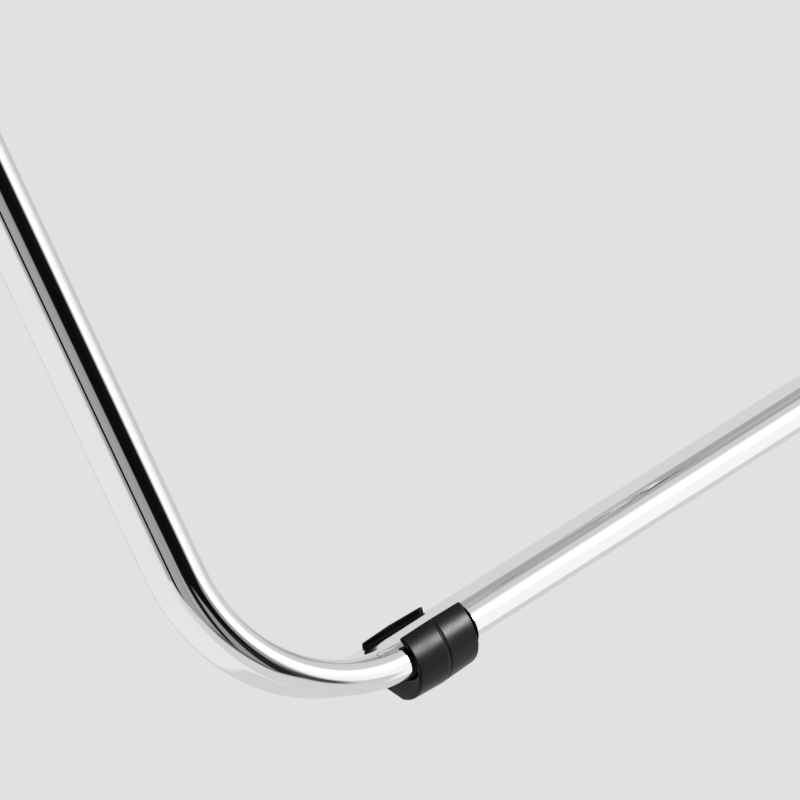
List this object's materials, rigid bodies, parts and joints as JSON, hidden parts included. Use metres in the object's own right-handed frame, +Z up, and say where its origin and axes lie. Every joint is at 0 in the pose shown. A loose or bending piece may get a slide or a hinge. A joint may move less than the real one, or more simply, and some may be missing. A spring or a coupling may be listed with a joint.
{
  "type": "valet stand",
  "caption": "Free-standing folding valet stand of bent flat-oval chrome tube, with clip-on floor glides, a hanger, a tray and a trouser bar that swings up.",
  "frame": {"origin": "centre of the footprint on the floor", "axes": "+X along the floor bars to the right, +Y to the rear, +Z up"},
  "size_m": [0.454, 0.466, 1.0689],
  "materials": {
    "chrome_tube": "polished chrome plate",
    "bright_fastener": "polished chrome plate",
    "steel_fastener": "zinc plated",
    "glide_plastic": "semi-gloss moulded",
    "black_plastic": "fine moulded grain",
    "hanger_plastic": "satin moulded",
    "nylon": "natural moulded",
    "grip_rubber": "ribbed",
    "felt": "pressed felt"
  },
  "bodies": {
    "main_frame": {"front_leg_frame": "chrome_tube", "mast_frame": "chrome_tube", "cross_rail": "chrome_tube", "tray_arms": "chrome_tube", "pivot_bolts": "bright_fastener", "pivot_cap_nuts": "bright_fastener", "trouser_pivot_screws": "bright_fastener", "trouser_nuts": "bright_fastener", "joint_screws": "steel_fastener", "rail_screws": "steel_fastener", "tray_arm_screws": "steel_fastener", "tray_screws": "steel_fastener", "hanger_screws": "steel_fastener", "pivot_washers": "steel_fastener", "trouser_washers": "steel_fastener", "joint_sleeves": "steel_fastener", "front_glides": "glide_plastic", "joint_rings": "black_plastic", "pivot_discs": "black_plastic", "rail_ferrules": "black_plastic", "trouser_brackets": "black_plastic", "tray": "black_plastic", "hanger_saddle": "black_plastic", "hanger": "hanger_plastic", "tray_mat": "felt"},
    "rear_legs": {"rear_leg_frame": "chrome_tube", "rear_glides": "glide_plastic", "rear_end_plugs": "black_plastic", "pivot_bushes": "nylon", "stop_pins": "steel_fastener"},
    "trouser_hanger": {"trouser_bar": "chrome_tube", "trouser_sleeve": "grip_rubber"}
  },
  "joints": [
    {"name": "rear_fold", "type": "hinge", "parent": "main_frame", "child": "rear_legs", "pos_m": [0, 0, 0.303], "axis": [-1, 0, 0], "range_deg": [0, 67]},
    {"name": "trouser_swing", "type": "hinge", "parent": "main_frame", "child": "trouser_hanger", "pos_m": [0, 0.045, 0.85], "axis": [1, 0, 0], "range_deg": [0, 85]}
  ]
}
